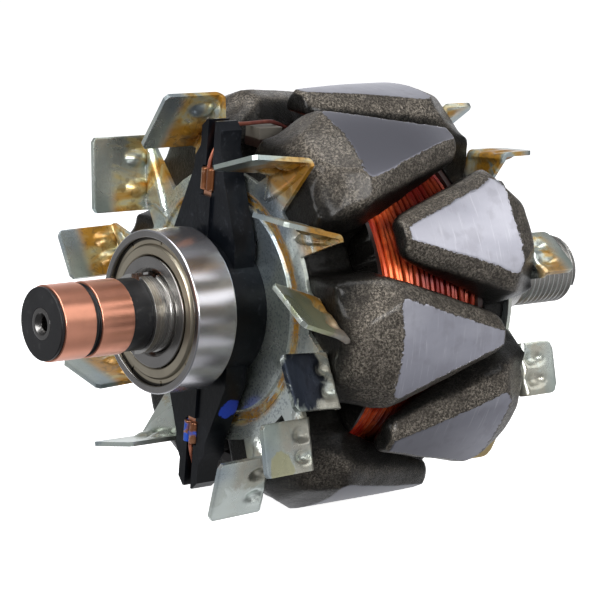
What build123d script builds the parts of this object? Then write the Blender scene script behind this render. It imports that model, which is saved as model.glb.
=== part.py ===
from build123d import *
import os
from math import cos, radians, sin, sqrt, tan

os.makedirs("parts", exist_ok=True)

# An alternator rotor, in millimetres. X is the shaft's axis: the slip rings point to -X and the
# pulley thread to +X. The origin is on the axis, at the shoulder of the drive-end journal.
# An angle on the rotor is counted about +X, from +Z at the top towards -Y.

# Shaft
shaft_radius = 8.5
core_seat_radius = 9.0
journal_length = 20.0
thread_radius = 8.0
thread_length = 16.4
thread_chamfer = 1.2
spigot_radius = 3.35
centre_hole_radius = 1.5
centre_hole_depth = 8.0
undercut_width = 1.3
undercut_depth = 0.5

# Slip rings
slip_ring_radius = 8.0
slip_ring_wall = 0.8
body_radius = 7.7
end_lip = 0.9
outer_ring_width = 7.6
ring_gap = 1.4
inner_ring_width = 8.1
collar_length = 4.9
journal_gap = 4.3

# Slip-ring-end bearing, 17 x 35 x 10 mm
bearing_width = 10.0
bearing_radius = 17.5
ball_radius = 2.381
ball_count = 10
ball_play = 0.05
inner_land_step = 1.1
outer_land_step = 0.2
bearing_corner = 0.6
bore_corner = 1.0
shield_seat_wall = 1.8
shield_seat_depth = 1.5
shield_thickness = 0.4
shield_face_depth = 0.4
shield_rim_width = 1.5
shield_gap = 0.15
cage_wall = 1.6
cage_width = 5.7
pocket_play = 0.08

# Lead guide, crimps and leads
guide_boss_radius = 11.6
guide_boss_length = 1.0
guide_hub_radius = 15.4
guide_hub_step = 2.0
guide_length = 9.4
guide_arm_back = 1.0
guide_shoulder_reach = 32.0
guide_shoulder_half_width = 5.2
guide_root_half_width = 11.0
guide_tip_inset = 5.5
guide_tip_half_width = 3.4
lead_width = 2.6
lead_thickness = 1.5
lead_play = 0.3
lead_channel_depth = 1.6
groove_floor_radius = 5.0
riser_length = 3.0
crimp_inner_reach = 25.2
crimp_length = 5.4
crimp_width = 4.0
crimp_depth = 3.6
wire_radius = 0.8
wire_seat_depth = 0.9
wire_bend = 2.0
wire_drop_length = 7.0
wire_end_depth = 3.4

# Pole pack
claw_count = 6
claw_angle = 37.0
pole_radius = 46.0
pole_length = 55.0
pole_disc_thickness = 13.0
pole_disc_radius = 29.0
claw_heel_radius = 20.0
root_bevel_depth = 3.8
root_bevel_length = 10.3
root_corner_length = 4.0
root_corner_depth = 3.2
ground_half_angle_root = 14.5
ground_half_angle_tip = 2.1
ground_length = 29.1
bevel_angle = 42.0
claw_root_half_width = 12.6
claw_widest_half_width = 14.3
claw_tip_half_width = 4.8
claw_length = 40.4
tip_round_length = 1.4
claw_root_thickness = 9.7
claw_tip_thickness = 4.7

# Field coil
core_radius = 24.0
bobbin_wall = 1.4
bobbin_play = 0.1
flange_play = 0.5
coil_recess = 0.6
strand_pitch = 1.35
strand_depth = 0.35
lug_width = 5.0
lug_length = 6.0
lug_height = 2.9
lug_neck = 3.5
lug_neck_depth = 1.2
lug_neck_step = 0.2

# Fans
fan_thickness = 1.0
fan_bend_radius = 0.8
fan_bore_radius = 10.0
blade_corner = 1.0
blade_seam = 0.6
rib_places = (0.3, 0.7)
rib_width = 2.0
rib_height = 0.8
rib_run = 5.0
rib_rise = 1.6
rib_root = 0.7
groove_ring_radius = 24.6
groove_ring_half_width = 1.4
groove_ring_depth = 0.5
spoke_outer_spread = 3.0
spoke_inner_spread = 5.0
front_spoke_reach = 16.2
front_fan_inset = 0.3
front_blade_height = 13.9
rear_spoke_reach = 11.8
rear_fan_inset = 4.2
rear_blade_height = 8.6
rear_blade_angles = (10.0, 41.0, 81.0, 121.0, 161.0, 201.0, 241.0, 281.0, 321.0)
rear_blade_sweep = 14.5
rear_blade_lean = 0.0
rear_blade_taper = 6.6

# Front fan blades: outer corner's angle, inner corner's angle, inner corner's radius as a part of
# the fan's, and lean
front_blades = [
    (-2.0, -18.0, 0.786, 0.0),
    (-40.5, -58.5, 0.757, 2.0),
    (-74.0, -86.5, 0.842, 4.0),
    (-112.0, -127.0, 0.766, 3.0),
    (-138.5, -154.5, 0.777, 0.0),
    (40.0, 24.5, 0.761, 6.0),
    (61.0, 50.0, 0.794, 14.0),
    (87.0, 74.7, 0.801, 22.0),
    (110.0, 97.0, 0.842, 14.0),
    (133.0, 122.5, 0.823, 10.0),
    (163.0, 150.5, 0.779, 3.0),
]

# Drive-end spacer
spacer_length = 6.0
spacer_radius = 11.5

# Places along the axis, worked out from the sizes above
thread_start = journal_length
thread_end = thread_start + thread_length
rear_fan_face = -spacer_length
rear_pole_face = rear_fan_face - fan_thickness
front_pole_face = rear_pole_face - pole_length
mid_plane = (rear_pole_face + front_pole_face) / 2
front_fan_face = front_pole_face - fan_thickness
bearing_rear = front_fan_face - guide_length
bearing_front = bearing_rear - bearing_width
bearing_mid = (bearing_rear + bearing_front) / 2
body_rear = bearing_front - journal_gap
inner_ring_rear = body_rear - collar_length
inner_ring_front = inner_ring_rear - inner_ring_width
outer_ring_rear = inner_ring_front - ring_gap
outer_ring_front = outer_ring_rear - outer_ring_width
shaft_front = outer_ring_front - end_lip
guide_front = bearing_rear + guide_boss_length
guide_arm_front = guide_front + guide_hub_step
guide_arm_rear = front_fan_face - guide_arm_back
lead_rear = guide_arm_front + lead_channel_depth
lead_front = lead_rear - lead_thickness
lead_mid = (lead_front + lead_rear) / 2
coil_front = front_pole_face + pole_disc_thickness
coil_rear = rear_pole_face - pole_disc_thickness

# Radii and angles that several pieces share
ring_seat_radius = slip_ring_radius - slip_ring_wall
bearing_pitch_radius = (shaft_radius + bearing_radius) / 2
inner_land_radius = bearing_pitch_radius - inner_land_step
shield_seat_radius = bearing_radius - shield_seat_wall
shield_step_radius = shield_seat_radius - shield_rim_width
outer_land_radius = shield_step_radius + outer_land_step
bevel_end_radius = pole_radius - root_bevel_depth * (1 - root_corner_length / root_bevel_length)
pole_corner_radius = pole_radius - root_bevel_depth - root_corner_depth
claw_inner_radius_root = pole_radius - claw_root_thickness
claw_inner_radius_tip = pole_radius - claw_tip_thickness
flange_radius = claw_inner_radius_root - flange_play
coil_radius = flange_radius - coil_recess
lug_reach = flange_radius + lug_height
guide_tip_reach = pole_radius - guide_tip_inset
wire_reach = guide_tip_reach - wire_seat_depth
front_fan_radius = pole_radius - front_fan_inset
rear_fan_radius = pole_radius - rear_fan_inset
front_fan_hub_radius = front_fan_radius - front_spoke_reach
rear_fan_hub_radius = rear_fan_radius - rear_spoke_reach
rear_blade_root_radius = rear_fan_radius - rear_blade_taper
lead_inner_radius = groove_floor_radius + lead_play / 2
lead_outer_radius = lead_inner_radius + lead_thickness
raceway_radius = ball_radius + ball_play
crimp_outer_reach = crimp_inner_reach + crimp_length
crimp_mid_reach = (crimp_inner_reach + crimp_outer_reach) / 2
spool_radius = core_radius + bobbin_play + bobbin_wall
claw_pitch = 360 / claw_count
claw_angles = [claw_angle + claw_pitch * index for index in range(claw_count)]
ball_angles = [360 / ball_count * index for index in range(ball_count)]
# Both leads pass through gaps in the middle between two claw roots
lead_angles = (claw_angle - claw_pitch / 2, claw_angle - claw_pitch / 2 + 180)


def on_ring(radius, angle):
    # The (y, z) of a point at a radius and an angle
    return (-radius * sin(radians(angle)), radius * cos(radians(angle)))


def on_arm(angle, across, reach):
    # The (y, z) of a point on an arm that points along an angle
    turn = radians(angle)
    return (across * cos(turn) - reach * sin(turn), across * sin(turn) + reach * cos(turn))


def around(*angles):
    # One place for each angle, turned about the shaft's axis
    return Locations(*[Location((0, 0, 0), (angle, 0, 0)) for angle in angles])


def turned(*points, mode=Mode.ADD):
    # A solid turned about the axis from an outline of (along, radius) points
    with BuildSketch(Plane.XZ) as outline:
        with BuildLine():
            Polyline(*points, close=True)
        make_face()
    revolve(outline.sketch, axis=Axis.X, mode=mode)


def ring_between(start, end, inner_radius, outer_radius, mode=Mode.ADD):
    # A plain ring about the axis
    with BuildSketch(Plane.YZ.offset(start)) as section:
        Circle(outer_radius)
        if inner_radius > 0:
            Circle(inner_radius, mode=Mode.SUBTRACT)
    extrude(section.sketch, amount=end - start, mode=mode)


def block(start, end, width, inner_reach, outer_reach, mode=Mode.ADD):
    # A block that stands out from the axis towards +Z, between two places along the axis
    with Locations(((start + end) / 2, 0, (inner_reach + outer_reach) / 2)):
        Box(end - start, width, outer_reach - inner_reach, mode=mode)


def finish(piece, name):
    piece.part.label = name
    export_step(piece.part, f"parts/{name}.step")


# Shaft: one turned piece with a groove for each lead
with BuildPart() as shaft:
    turned(
        (shaft_front, 0),
        (shaft_front, spigot_radius),
        (body_rear, spigot_radius),
        (body_rear, shaft_radius),
        (bearing_front - undercut_width, shaft_radius),
        (bearing_front - undercut_width, shaft_radius - undercut_depth),
        (bearing_front, shaft_radius - undercut_depth),
        (bearing_front, shaft_radius),
        (front_fan_face, shaft_radius),
        (front_fan_face, core_seat_radius),
        (0, core_seat_radius),
        (0, shaft_radius),
        (thread_start, shaft_radius),
        (thread_start, thread_radius),
        (thread_end - thread_chamfer, thread_radius),
        (thread_end, thread_radius - thread_chamfer),
        (thread_end, 0),
    )
    with around(*lead_angles):
        block(
            body_rear,
            lead_rear + lead_play,
            lead_width + lead_play,
            groove_floor_radius,
            shaft_radius + lead_play,
            mode=Mode.SUBTRACT,
        )
    ring_between(shaft_front, shaft_front + centre_hole_depth, 0, centre_hole_radius, Mode.SUBTRACT)
finish(shaft, "shaft")

# Slip rings: each is a copper tube on a seat of the moulded body
for name, start, end in (
    ("slip_ring_outer", outer_ring_front, outer_ring_rear),
    ("slip_ring_inner", inner_ring_front, inner_ring_rear),
):
    with BuildPart() as slip_ring:
        ring_between(start, end, ring_seat_radius, slip_ring_radius)
    finish(slip_ring, name)

# Leads: each bar starts under its ring, lies in the shaft's groove and turns up along the guide
riser_top = sqrt(ring_seat_radius**2 - (lead_width / 2) ** 2)
lead_starts = (
    (outer_ring_front + outer_ring_rear - riser_length) / 2,
    (inner_ring_front + inner_ring_rear - riser_length) / 2,
)
for name, angle, start in zip(("lead_bar_a", "lead_bar_b"), lead_angles, lead_starts):
    with BuildPart() as lead_bar:
        with around(angle):
            block(start, lead_rear, lead_width, lead_inner_radius, lead_outer_radius)
            block(start, start + riser_length, lead_width, lead_inner_radius, riser_top)
            block(lead_front, lead_rear, lead_width, lead_inner_radius, crimp_mid_reach)
    finish(lead_bar, name)

# Slip-ring body: moulded on the spigot, with a seat for each ring and a channel for each bar
with BuildPart() as slip_ring_body:
    ring_between(shaft_front, body_rear, spigot_radius, body_radius)
    ring_between(
        outer_ring_front, outer_ring_rear, ring_seat_radius, slip_ring_radius, Mode.SUBTRACT
    )
    ring_between(
        inner_ring_front, inner_ring_rear, ring_seat_radius, slip_ring_radius, Mode.SUBTRACT
    )
    for angle, start in zip(lead_angles, lead_starts):
        with around(angle):
            block(
                start, body_rear, lead_width, lead_inner_radius, lead_outer_radius, Mode.SUBTRACT
            )
            block(
                start,
                start + riser_length,
                lead_width,
                lead_inner_radius,
                slip_ring_radius,
                Mode.SUBTRACT,
            )
finish(slip_ring_body, "slip_ring_body")

# Bearing: both rings have half of the ball groove, and the outer one holds the shields
with BuildPart() as bearing_inner_ring:
    turned(
        (bearing_front, shaft_radius + bore_corner),
        (bearing_front, inner_land_radius),
        (bearing_rear, inner_land_radius),
        (bearing_rear, shaft_radius + bore_corner),
        (bearing_rear - bore_corner, shaft_radius),
        (bearing_front + bore_corner, shaft_radius),
    )
    with BuildSketch(Plane.XZ):
        with Locations((bearing_mid, bearing_pitch_radius)):
            Circle(raceway_radius)
    revolve(axis=Axis.X, mode=Mode.SUBTRACT)
finish(bearing_inner_ring, "bearing_inner_ring")

with BuildPart() as bearing_outer_ring:
    turned(
        (bearing_front, shield_seat_radius),
        (bearing_front, bearing_radius - bearing_corner),
        (bearing_front + bearing_corner, bearing_radius),
        (bearing_rear - bearing_corner, bearing_radius),
        (bearing_rear, bearing_radius - bearing_corner),
        (bearing_rear, shield_seat_radius),
        (bearing_rear - shield_seat_depth, shield_seat_radius),
        (bearing_rear - shield_seat_depth, outer_land_radius),
        (bearing_front + shield_seat_depth, outer_land_radius),
        (bearing_front + shield_seat_depth, shield_seat_radius),
    )
    with BuildSketch(Plane.XZ):
        with Locations((bearing_mid, bearing_pitch_radius)):
            Circle(raceway_radius)
    revolve(axis=Axis.X, mode=Mode.SUBTRACT)
finish(bearing_outer_ring, "bearing_outer_ring")

with BuildPart() as bearing_balls:
    with around(*ball_angles):
        with Locations((bearing_mid, 0, bearing_pitch_radius)):
            Sphere(ball_radius)
finish(bearing_balls, "bearing_balls")

with BuildPart() as bearing_cage:
    ring_between(
        bearing_mid - cage_width / 2,
        bearing_mid + cage_width / 2,
        bearing_pitch_radius - cage_wall / 2,
        bearing_pitch_radius + cage_wall / 2,
    )
    with around(*ball_angles):
        with Locations((bearing_mid, 0, bearing_pitch_radius)):
            Sphere(ball_radius + pocket_play, mode=Mode.SUBTRACT)
finish(bearing_cage, "bearing_cage")

# Shields: pressed discs, deeper at the rim that snaps into the outer ring's seat
for name, face, inward in (
    ("bearing_shield_front", bearing_front, 1),
    ("bearing_shield_rear", bearing_rear, -1),
):
    disc_front = face + inward * shield_face_depth
    disc_back = disc_front + inward * shield_thickness
    rim_back = face + inward * shield_seat_depth
    rim_front = rim_back - inward * shield_thickness
    with BuildPart() as shield:
        turned(
            (disc_front, inner_land_radius + shield_gap),
            (disc_front, shield_step_radius),
            (rim_front, shield_step_radius + shield_thickness),
            (rim_front, shield_seat_radius),
            (rim_back, shield_seat_radius),
            (rim_back, shield_step_radius),
            (disc_back, shield_step_radius - shield_thickness),
            (disc_back, inner_land_radius + shield_gap),
        )
    finish(shield, name)

# Lead guide: a moulded hub behind the bearing with an arm for each lead
arm_side = [
    (guide_root_half_width, 0),
    (guide_root_half_width, guide_hub_radius),
    (guide_shoulder_half_width, guide_shoulder_reach - guide_shoulder_half_width / 2),
    (guide_shoulder_half_width, guide_shoulder_reach),
    (guide_tip_half_width, guide_shoulder_reach + guide_shoulder_half_width / 2),
    (guide_tip_half_width, guide_tip_reach - guide_tip_half_width / 2),
    (guide_tip_half_width / 2, guide_tip_reach),
]
arm_outline = arm_side + [(-across, reach) for across, reach in reversed(arm_side)]
crimp_front = lead_mid - crimp_depth / 2
crimp_rear = lead_mid + crimp_depth / 2
wire_seat = wire_radius + lead_play / 2
with BuildPart() as lead_guide:
    ring_between(bearing_rear, guide_front, shaft_radius, guide_boss_radius)
    ring_between(guide_front, front_fan_face, shaft_radius, guide_hub_radius)
    for angle in lead_angles:
        with BuildSketch(Plane.YZ.offset(guide_arm_front)):
            with BuildLine():
                Polyline(*[on_arm(angle, *point) for point in arm_outline], close=True)
            make_face()
        extrude(amount=guide_arm_rear - guide_arm_front)
    ring_between(bearing_rear, front_fan_face, 0, shaft_radius, Mode.SUBTRACT)
    with around(*lead_angles):
        block(bearing_rear, lead_rear, lead_width + lead_play, 0, crimp_mid_reach, Mode.SUBTRACT)
        block(
            guide_arm_front,
            crimp_rear,
            crimp_width + lead_play,
            crimp_inner_reach,
            crimp_outer_reach,
            Mode.SUBTRACT,
        )
        block(
            guide_arm_front,
            lead_mid + wire_seat,
            2 * wire_seat,
            crimp_outer_reach,
            guide_tip_reach,
            Mode.SUBTRACT,
        )
        block(
            guide_arm_front,
            guide_arm_rear,
            2 * wire_seat,
            wire_reach - wire_seat - wire_bend / 2,
            guide_tip_reach,
            Mode.SUBTRACT,
        )
finish(lead_guide, "lead_guide")

# Crimps: each joins the end of a bar to the end of a coil lead
for name, angle in zip(("terminal_a", "terminal_b"), lead_angles):
    with BuildPart() as terminal:
        with around(angle):
            block(crimp_front, crimp_rear, crimp_width, crimp_inner_reach, crimp_outer_reach)
            block(
                lead_front, lead_rear, lead_width, crimp_inner_reach, crimp_mid_reach, Mode.SUBTRACT
            )
            with Locations((lead_mid, 0, (crimp_mid_reach + crimp_outer_reach) / 2)):
                Cylinder(wire_radius, crimp_outer_reach - crimp_mid_reach, mode=Mode.SUBTRACT)
    finish(terminal, name)

# Coil leads: over the guide's tip, between two claw roots and down onto the coil
wire_turn = coil_front - wire_end_depth
for name, angle in zip(("coil_lead_a", "coil_lead_b"), lead_angles):
    with BuildPart() as wire:
        with BuildLine() as route:
            FilletPolyline(
                (lead_mid, 0, crimp_mid_reach),
                (lead_mid, 0, wire_reach),
                (wire_turn, 0, wire_reach),
                (wire_turn + wire_drop_length, 0, coil_radius + wire_radius),
                radius=wire_bend,
            )
        with BuildSketch(Plane(origin=route.line @ 0, z_dir=route.line % 0)):
            Circle(wire_radius)
        sweep(path=route.line)
    with BuildPart() as coil_lead:
        with around(angle):
            add(wire.part)
    finish(coil_lead, name)

# One claw, pointing up: a turned section cut to its outline and bevelled along both ground edges
ground_start = front_pole_face + root_bevel_length
ground_end = ground_start + ground_length
claw_end = front_pole_face + claw_length
with BuildPart() as claw:
    turned(
        (front_pole_face, claw_heel_radius),
        (front_pole_face, pole_corner_radius),
        (front_pole_face + root_corner_length, bevel_end_radius),
        (ground_start, pole_radius),
        (ground_end, pole_radius),
        (claw_end, pole_radius - tip_round_length),
        (claw_end, claw_inner_radius_tip),
        (coil_front, claw_inner_radius_root),
        (coil_front, claw_heel_radius),
    )
    with BuildSketch(Plane.XY):
        with BuildLine():
            Polyline(
                (front_pole_face, -claw_root_half_width),
                (ground_start, -claw_widest_half_width),
                (claw_end - tip_round_length, -claw_tip_half_width),
                (claw_end, tip_round_length - claw_tip_half_width),
                (claw_end, claw_tip_half_width - tip_round_length),
                (claw_end - tip_round_length, claw_tip_half_width),
                (ground_start, claw_widest_half_width),
                (front_pole_face, claw_root_half_width),
                close=True,
            )
        make_face()
    extrude(amount=pole_radius, mode=Mode.INTERSECT)
    for side in (-1, 1):
        root = Vector(ground_start, *on_ring(pole_radius, side * ground_half_angle_root))
        tip = Vector(ground_end, *on_ring(pole_radius, side * ground_half_angle_tip))
        outward = -side * cos(radians(bevel_angle))
        slope = Vector(0, outward, -sin(radians(bevel_angle)))
        normal = (tip - root).cross(slope) * side
        split(bisect_by=Plane(origin=root, x_dir=tip - root, z_dir=normal), keep=Keep.TOP)

# Pole halves: six claws on a forged disc, and the same again facing it, half a pitch further round
with BuildPart() as front_claw_pole:
    ring_between(front_pole_face, coil_front, core_seat_radius, pole_disc_radius)
    with around(*claw_angles):
        add(claw.part)
finish(front_claw_pole, "front_claw_pole")

with BuildPart() as rear_claw_pole:
    with around(claw_pitch / 2):
        add(front_claw_pole.part)
    mirror(about=Plane.YZ.offset(mid_plane), mode=Mode.REPLACE)
finish(rear_claw_pole, "rear_claw_pole")

with BuildPart() as pole_core:
    ring_between(coil_front, coil_rear, core_seat_radius, core_radius)
finish(pole_core, "pole_core")

# Bobbin: a spool with a lug for each lead, which stands between two claw roots
bobbin_front = coil_front + bobbin_play
bobbin_rear = coil_rear - bobbin_play
lug_rear = bobbin_front - lug_neck
lug_base = flange_radius - lug_neck_depth - lug_neck_step
lug_neck_reach = flange_radius - lug_neck_step
with BuildPart() as bobbin:
    ring_between(bobbin_front, bobbin_rear, core_radius + bobbin_play, spool_radius)
    ring_between(bobbin_front, bobbin_front + bobbin_wall, core_radius + bobbin_play, flange_radius)
    ring_between(bobbin_rear - bobbin_wall, bobbin_rear, core_radius + bobbin_play, flange_radius)
    with around(*lead_angles):
        block(lug_rear, bobbin_front + bobbin_wall / 2, lug_width, lug_base, lug_neck_reach)
        block(lug_rear - lug_length, lug_rear, lug_width, lug_base, lug_reach)
finish(bobbin, "bobbin")

# Field winding: wound solid, with the turns of its outer layer as ridges
winding_front = bobbin_front + bobbin_wall
winding_rear = bobbin_rear - bobbin_wall
turn_count = int((winding_rear - winding_front) / strand_pitch)
turn_pitch = (winding_rear - winding_front) / turn_count
ridges = []
for turn in range(turn_count):
    ridges.append((winding_front + turn * turn_pitch, coil_radius - strand_depth))
    ridges.append((winding_front + (turn + 0.5) * turn_pitch, coil_radius))
ridges.append((winding_rear, coil_radius - strand_depth))
with BuildPart() as field_winding:
    turned((winding_front, spool_radius), *ridges, (winding_rear, spool_radius))
finish(field_winding, "field_winding")

with BuildPart() as drive_end_spacer:
    ring_between(rear_fan_face, 0, core_seat_radius, spacer_radius)
finish(drive_end_spacer, "drive_end_spacer")

# Fans: a pressed plate with one blade bent up at the end of each spoke
def bend_place(height, lean):
    # Where a blade that leans outwards by an angle meets the plate, inwards of its tip
    return -height * tan(radians(lean))


def bend_length(radius, lean):
    # How far a bend of this radius reaches along the plate from the corner that it rounds
    return radius * tan(radians((90 - lean) / 2))


def fan_blade(width, height, lean):
    # One blade: a bent strip, with its tip's outer edge at y = 0 and the plate's back at z = 0
    rise = (sin(radians(lean)), cos(radians(lean)))
    corner = bend_place(height, lean)
    set_back = (1 - rise[0]) / rise[1]
    inner_corner = corner - fan_thickness * set_back
    strip_end = corner - bend_length(fan_bend_radius + fan_thickness, lean) - blade_seam
    rib_face = fan_thickness + rib_height
    rib_corner = corner - rib_face * set_back
    rib_start = strip_end - rib_run

    def up_blade(along, depth):
        # The (y, z) of a point that far up the blade and that deep behind its outer face
        return (corner + along * rise[0] - depth * rise[1], along * rise[1] + depth * rise[0])

    with BuildPart() as blade:
        with BuildSketch(Plane.YZ) as strip:
            with BuildLine():
                Polyline(
                    (strip_end, 0),
                    (corner, 0),
                    (0, height),
                    (-fan_thickness / rise[1], height),
                    (inner_corner, fan_thickness),
                    (strip_end, fan_thickness),
                    close=True,
                )
            make_face()
            outer_vertex = strip.vertices().sort_by_distance((corner, 0, 0))[0]
            fillet(outer_vertex, fan_bend_radius + fan_thickness)
            inner_vertex = strip.vertices().sort_by_distance((inner_corner, fan_thickness, 0))[0]
            fillet(inner_vertex, fan_bend_radius)
        extrude(amount=width)
        fillet(blade.edges().filter_by(Axis.Y).group_by(Axis.Z)[-1], blade_corner)
        for place in rib_places:
            with BuildSketch(Plane.YZ.offset(place * width - rib_width / 2)):
                with BuildLine():
                    Polyline(
                        (rib_start, rib_root),
                        (rib_start, fan_thickness),
                        (rib_start + rib_height, rib_face),
                        (rib_corner - fan_bend_radius, rib_face),
                        up_blade(rib_face + fan_bend_radius, rib_face),
                        up_blade(rib_face + rib_rise, rib_face),
                        up_blade(rib_face + rib_rise + rib_height, fan_thickness),
                        up_blade(rib_face + rib_rise + rib_height, rib_root),
                        (corner - rib_root * set_back, rib_root),
                        close=True,
                    )
                make_face()
            extrude(amount=rib_width)
    return blade.part


def add_blade(back, toward, outer, inner, height, lean, hub_radius):
    # A spoke and its blade. The plate's back is at back and its blades stand toward -1 or 1 along
    # the axis. The outer and inner corners of the blade's tip are (radius, angle).
    first, last = (inner, outer) if toward < 0 else (outer, inner)
    start = Vector(back, *on_ring(*first))
    end = Vector(back, *on_ring(*last))
    frame = Plane(origin=start, x_dir=end - start, z_dir=(toward, 0, 0))
    width = (end - start).length
    full_height = height + fan_thickness
    bend = bend_length(fan_bend_radius + fan_thickness, lean)
    seam = bend_place(full_height, lean) - bend - blade_seam / 2
    spoke_end = [frame.from_local_coords((along, seam, 0)) for along in (0, width)]
    if toward > 0:
        spoke_end.reverse()
    spoke_root = [
        Vector(back, *on_ring(hub_radius, outer[1] + spoke_outer_spread)),
        Vector(back, *on_ring(hub_radius, inner[1] - spoke_inner_spread)),
    ]
    with BuildSketch(Plane.YZ.offset(back)) as spoke:
        with BuildLine():
            Polyline(*[(point.Y, point.Z) for point in spoke_end + spoke_root], close=True)
        make_face()
    extrude(spoke.sketch, amount=toward * fan_thickness)
    with Locations(frame.location):
        add(fan_blade(width, full_height, lean))


with BuildPart() as front_fan:
    ring_between(front_fan_face, front_pole_face, fan_bore_radius, front_fan_hub_radius)
    for outer_angle, inner_angle, inner_part, lean in front_blades:
        add_blade(
            front_pole_face,
            -1,
            (front_fan_radius, outer_angle),
            (inner_part * front_fan_radius, inner_angle),
            front_blade_height,
            lean,
            front_fan_hub_radius,
        )
    ring_between(
        front_fan_face,
        front_fan_face + groove_ring_depth,
        groove_ring_radius - groove_ring_half_width,
        groove_ring_radius + groove_ring_half_width,
        Mode.SUBTRACT,
    )
finish(front_fan, "front_fan")

with BuildPart() as rear_fan:
    ring_between(rear_pole_face, rear_fan_face, fan_bore_radius, rear_fan_hub_radius)
    for outer_angle in rear_blade_angles:
        add_blade(
            rear_pole_face,
            1,
            (rear_fan_radius, outer_angle),
            (rear_blade_root_radius, outer_angle - rear_blade_sweep),
            rear_blade_height,
            rear_blade_lean,
            rear_fan_hub_radius,
        )
finish(rear_fan, "rear_fan")
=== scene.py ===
import math

import bmesh
import bpy
from mathutils import Matrix, Vector, noise


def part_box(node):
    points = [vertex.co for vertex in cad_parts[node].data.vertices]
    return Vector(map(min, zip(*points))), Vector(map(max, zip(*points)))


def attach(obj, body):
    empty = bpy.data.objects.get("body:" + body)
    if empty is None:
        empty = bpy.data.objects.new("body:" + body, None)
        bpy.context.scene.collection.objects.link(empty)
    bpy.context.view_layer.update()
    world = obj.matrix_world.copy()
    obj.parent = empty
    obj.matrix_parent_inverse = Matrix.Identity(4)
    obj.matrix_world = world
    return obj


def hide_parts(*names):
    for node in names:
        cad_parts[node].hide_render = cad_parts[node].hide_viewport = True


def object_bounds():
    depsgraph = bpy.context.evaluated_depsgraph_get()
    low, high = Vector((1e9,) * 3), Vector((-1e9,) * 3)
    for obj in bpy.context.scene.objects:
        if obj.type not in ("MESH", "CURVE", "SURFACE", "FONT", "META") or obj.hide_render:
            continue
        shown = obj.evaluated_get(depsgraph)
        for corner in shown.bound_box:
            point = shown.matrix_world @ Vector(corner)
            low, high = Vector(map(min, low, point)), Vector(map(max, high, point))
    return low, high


# An alternator rotor. X is its shaft's axis: the slip rings are at -X and the pulley thread at +X.
# An angle on the rotor is counted about +X, from +Z at the top towards -Y, where the camera is.
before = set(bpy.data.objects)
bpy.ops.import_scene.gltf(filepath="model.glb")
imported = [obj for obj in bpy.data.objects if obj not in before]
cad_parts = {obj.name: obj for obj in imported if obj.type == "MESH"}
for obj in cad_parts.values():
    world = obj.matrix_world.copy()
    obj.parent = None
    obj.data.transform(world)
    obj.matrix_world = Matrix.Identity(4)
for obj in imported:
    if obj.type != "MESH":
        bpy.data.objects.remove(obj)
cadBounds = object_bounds()
mm = 0.001  # shapes are modelled in millimetres and brought to metres when a piece is finished


def cadSpan(node):  # where a CAD node starts and ends along the shaft, in millimetres
    low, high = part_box(node)
    return low.x / mm, high.x / mm


shaftFront, threadEnd = cadSpan("shaft")
collarRear = cadSpan("slip_ring_body")[1]
bearingFront, bearingRear = cadSpan("bearing_outer_ring")
guideRear = cadSpan("lead_guide")[1]
frontFace = cadSpan("front_claw_pole")[0]
rearFace = cadSpan("rear_claw_pole")[1]
leadAngles = {"a": 7, "b": 187}
print("frame loaded: poles from", round(frontFace, 1), "to", round(rearFace, 1))


# Shared modelling steps


def onRing(radius, angle):  # the (y, z) of a point at a radius and an angle
    return -radius * math.sin(math.radians(angle)), radius * math.cos(math.radians(angle))


def turned(angle):
    return Matrix.Rotation(math.radians(angle), 4, "X")


def wave(low, high, value):  # a smooth step from 0 at low to 1 at high
    t = min(max((value - low) / (high - low), 0), 1)
    return t * t * (3 - 2 * t)


def faceOut(bm):  # turns every face outwards
    bmesh.ops.recalc_face_normals(bm, faces=bm.faces[:])


def spinOutline(bm, outline, steps=144, closed=True):
    # an outline of (along, radius) points, spun about the shaft
    verts = [bm.verts.new((along, 0, radius)) for along, radius in outline]
    ends = verts[1:] + verts[:1] if closed else verts[1:]
    edges = [bm.edges.new(pair) for pair in zip(verts, ends)]
    bmesh.ops.spin(
        bm, geom=verts + edges, cent=(0, 0, 0), axis=(1, 0, 0), dvec=(0, 0, 0),
        angle=math.tau, steps=steps, use_merge=True, use_duplicate=False,
    )
    bmesh.ops.remove_doubles(bm, verts=bm.verts[:], dist=0.001)
    faceOut(bm)


def spinTube(bm, front, rear, bore, radius):
    spinOutline(bm, [(front, bore), (front, radius), (rear, radius), (rear, bore)])


def soften(bm, verts, rounds):
    for _ in range(rounds):
        allAxes = {"use_axis_x": True, "use_axis_y": True, "use_axis_z": True}
        bmesh.ops.smooth_vert(bm, verts=verts, factor=0.5, **allAxes)


def easeEdges(bm, size, segments=2, over=30):  # rounds the edges whose faces turn by more than an angle
    sharp = [e for e in bm.edges if len(e.link_faces) == 2 and e.calc_face_angle() > math.radians(over)]
    bmesh.ops.bevel(
        bm, geom=sharp, offset=size, segments=segments, profile=0.5, affect="EDGES",
        material=-1, clamp_overlap=True,
    )


def addBlock(bm, low, high, place=Matrix.Identity(4)):  # a box between two corners, then put in place
    low, high = Vector(low), Vector(high)
    size = Matrix.Diagonal((*(high - low), 1))
    bmesh.ops.create_cube(bm, size=1, matrix=place @ Matrix.Translation((low + high) / 2) @ size)


def cutAway(bm, place, normal, keep):  # cuts a closed shape by a plane and closes it; keep's side stays
    place, normal = Vector(place), Vector(normal)
    if (Vector(keep) - place).dot(normal) > 0:
        normal.negate()
    geom = bm.verts[:] + bm.edges[:] + bm.faces[:]
    bmesh.ops.bisect_plane(bm, geom=geom, plane_co=place, plane_no=normal, clear_outer=True)
    bmesh.ops.holes_fill(bm, edges=[e for e in bm.edges if e.is_boundary], sides=0)


def addMesh(bm, other):  # moves another bmesh's shapes into this one
    mesh = bpy.data.meshes.new("moved")
    other.to_mesh(mesh)
    other.free()
    bm.from_mesh(mesh)
    bpy.data.meshes.remove(mesh)


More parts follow.
